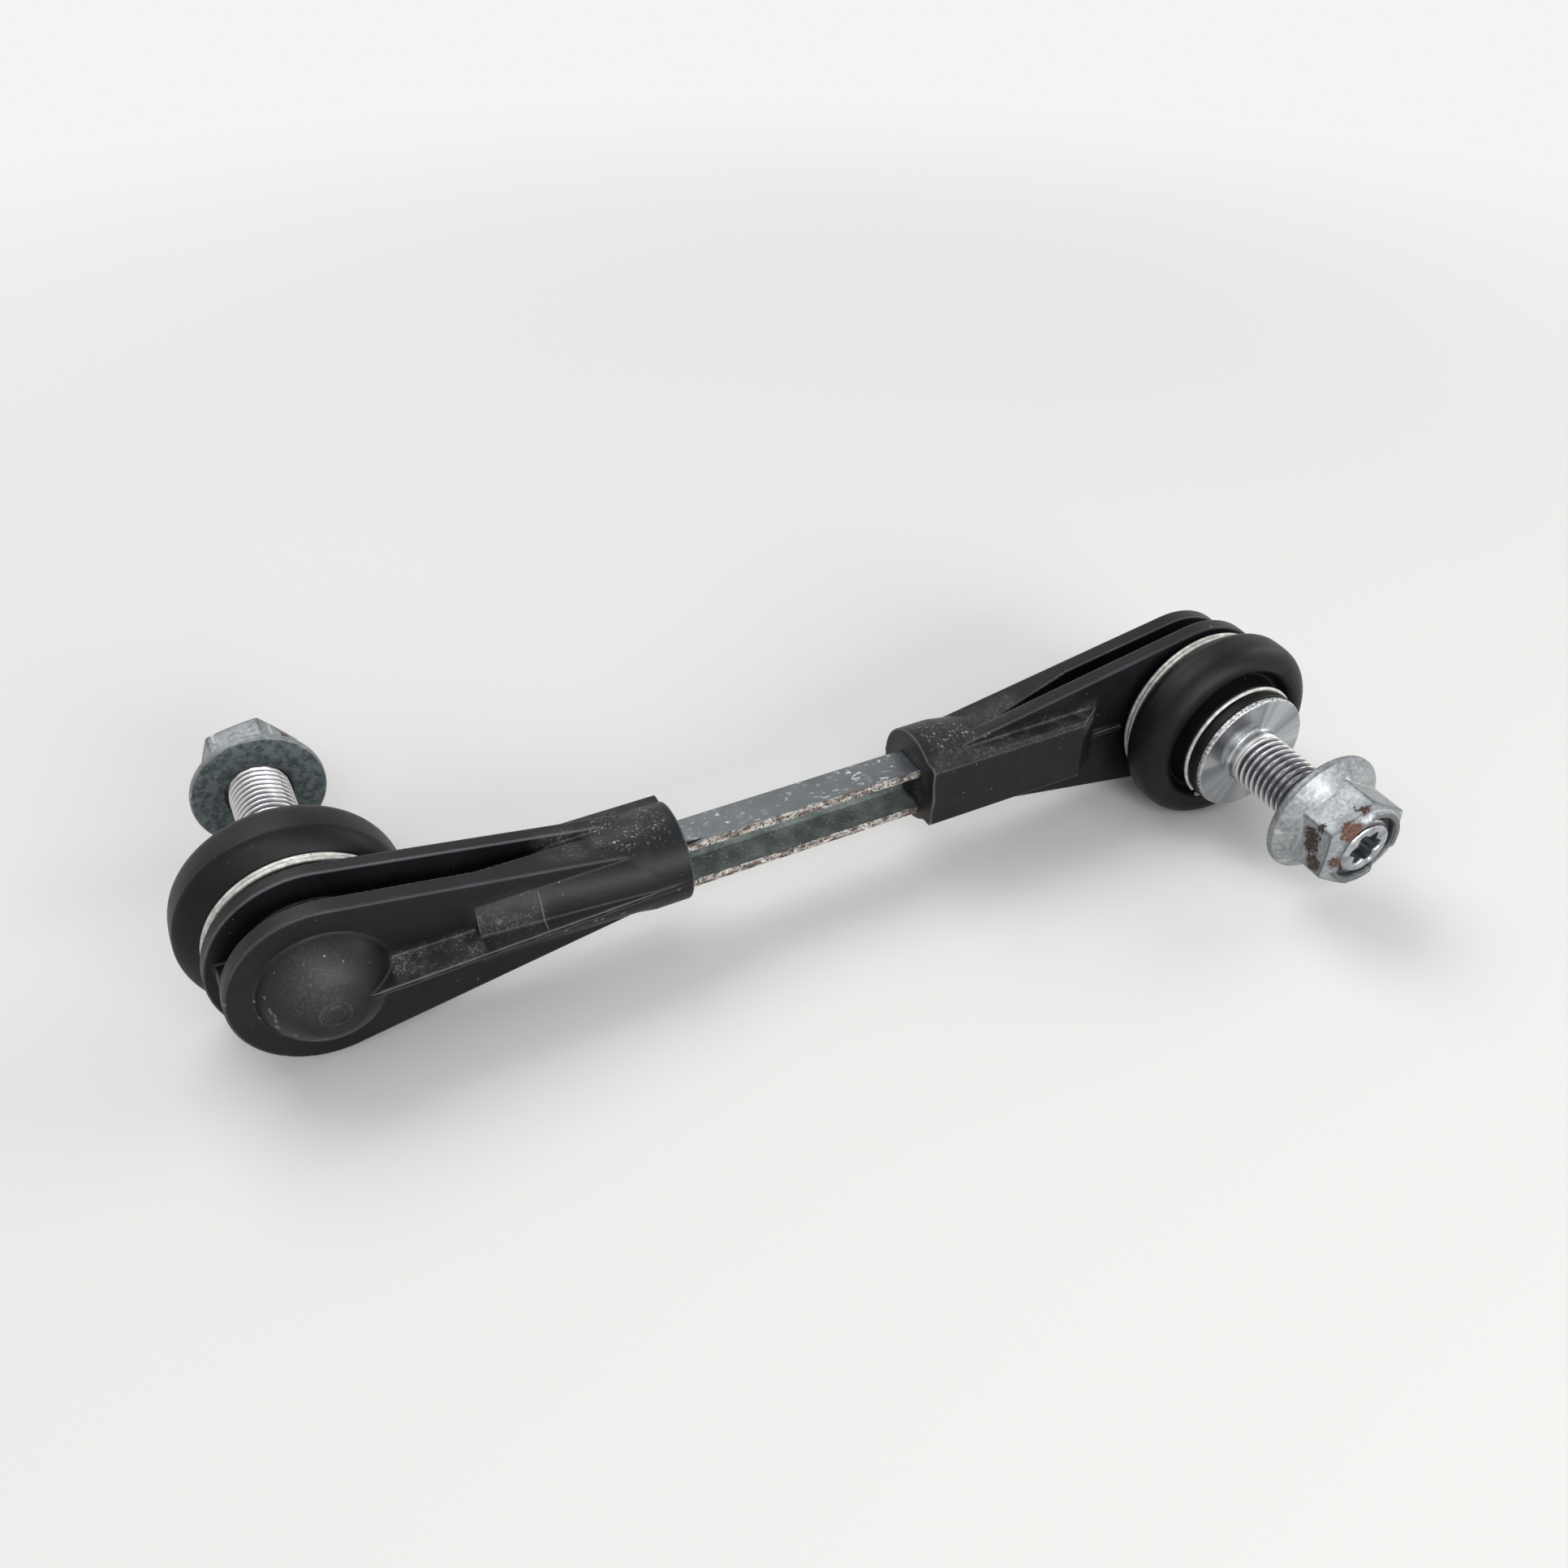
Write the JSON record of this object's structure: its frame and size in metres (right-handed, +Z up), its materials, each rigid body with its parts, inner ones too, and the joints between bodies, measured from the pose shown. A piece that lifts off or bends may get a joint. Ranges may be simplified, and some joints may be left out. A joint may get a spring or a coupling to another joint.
{
  "type": "stabiliser drop link",
  "caption": "Vehicle stabiliser drop link: steel channel bar with a moulded ball joint at each end, threaded studs facing opposite ways, rubber boots and flanged lock nuts.",
  "frame": {"origin": "midway between the two ball centres", "axes": "+X along the link from ball a to ball b, +Y the way stud a points, +Z up as the part lies on its boots"},
  "size_m": [0.2268, 0.1226, 0.0416],
  "materials": {
    "steel_bar": "satin",
    "moulded_nylon": "satin",
    "bearing_plastic": "smooth",
    "zinc_bright": "bright",
    "zinc_flake": "matte",
    "boot_rubber": "matte",
    "ring_wire": "satin"
  },
  "bodies": {
    "link": {"bar": "steel_bar", "housing_a": "moulded_nylon", "bearing_shell_a": "bearing_plastic", "boot_ring_large_a": "ring_wire", "housing_b": "moulded_nylon", "bearing_shell_b": "bearing_plastic", "boot_ring_large_b": "ring_wire"},
    "tilt_a": {"boot_a": "boot_rubber"},
    "swing_a": {"boot_ring_small_a": "ring_wire"},
    "stud_a": {"ball_stud_a": "zinc_bright"},
    "nut_a": {"lock_nut_a": "zinc_flake"},
    "tilt_b": {"boot_b": "boot_rubber"},
    "swing_b": {"boot_ring_small_b": "ring_wire"},
    "stud_b": {"ball_stud_b": "zinc_bright"},
    "nut_b": {"lock_nut_b": "zinc_flake"}
  },
  "joints": [
    {"name": "tilt_a", "type": "hinge", "parent": "link", "child": "tilt_a", "pos_m": [-0.0926, 0, 0], "axis": [1, 0, 0], "range_deg": [-16, 16], "deforming": ["boot_a"]},
    {"name": "swing_a", "type": "hinge", "parent": "tilt_a", "child": "swing_a", "pos_m": [-0.0926, 0, 0], "axis": [0, 0, 1], "range_deg": [-16, 16], "deforming": ["boot_a"]},
    {"name": "spin_a", "type": "hinge", "parent": "swing_a", "child": "stud_a", "pos_m": [-0.0926, 0, 0], "axis": [0, 1, 0], "continuous": true},
    {"name": "nut_travel_a", "type": "slide", "parent": "stud_a", "child": "nut_a", "axis": [0, 1, 0], "range_m": [-0.0222, 0.008]},
    {"name": "tilt_b", "type": "hinge", "parent": "link", "child": "tilt_b", "pos_m": [0.0926, 0, 0], "axis": [1, 0, 0], "range_deg": [-16, 16], "deforming": ["boot_b"]},
    {"name": "swing_b", "type": "hinge", "parent": "tilt_b", "child": "swing_b", "pos_m": [0.0926, 0, 0], "axis": [0, 0, 1], "range_deg": [-16, 16], "deforming": ["boot_b"]},
    {"name": "spin_b", "type": "hinge", "parent": "swing_b", "child": "stud_b", "pos_m": [0.0926, 0, 0], "axis": [0, -1, 0], "continuous": true},
    {"name": "nut_travel_b", "type": "slide", "parent": "stud_b", "child": "nut_b", "axis": [0, -1, 0], "range_m": [-0.0156, 0.015]}
  ]
}
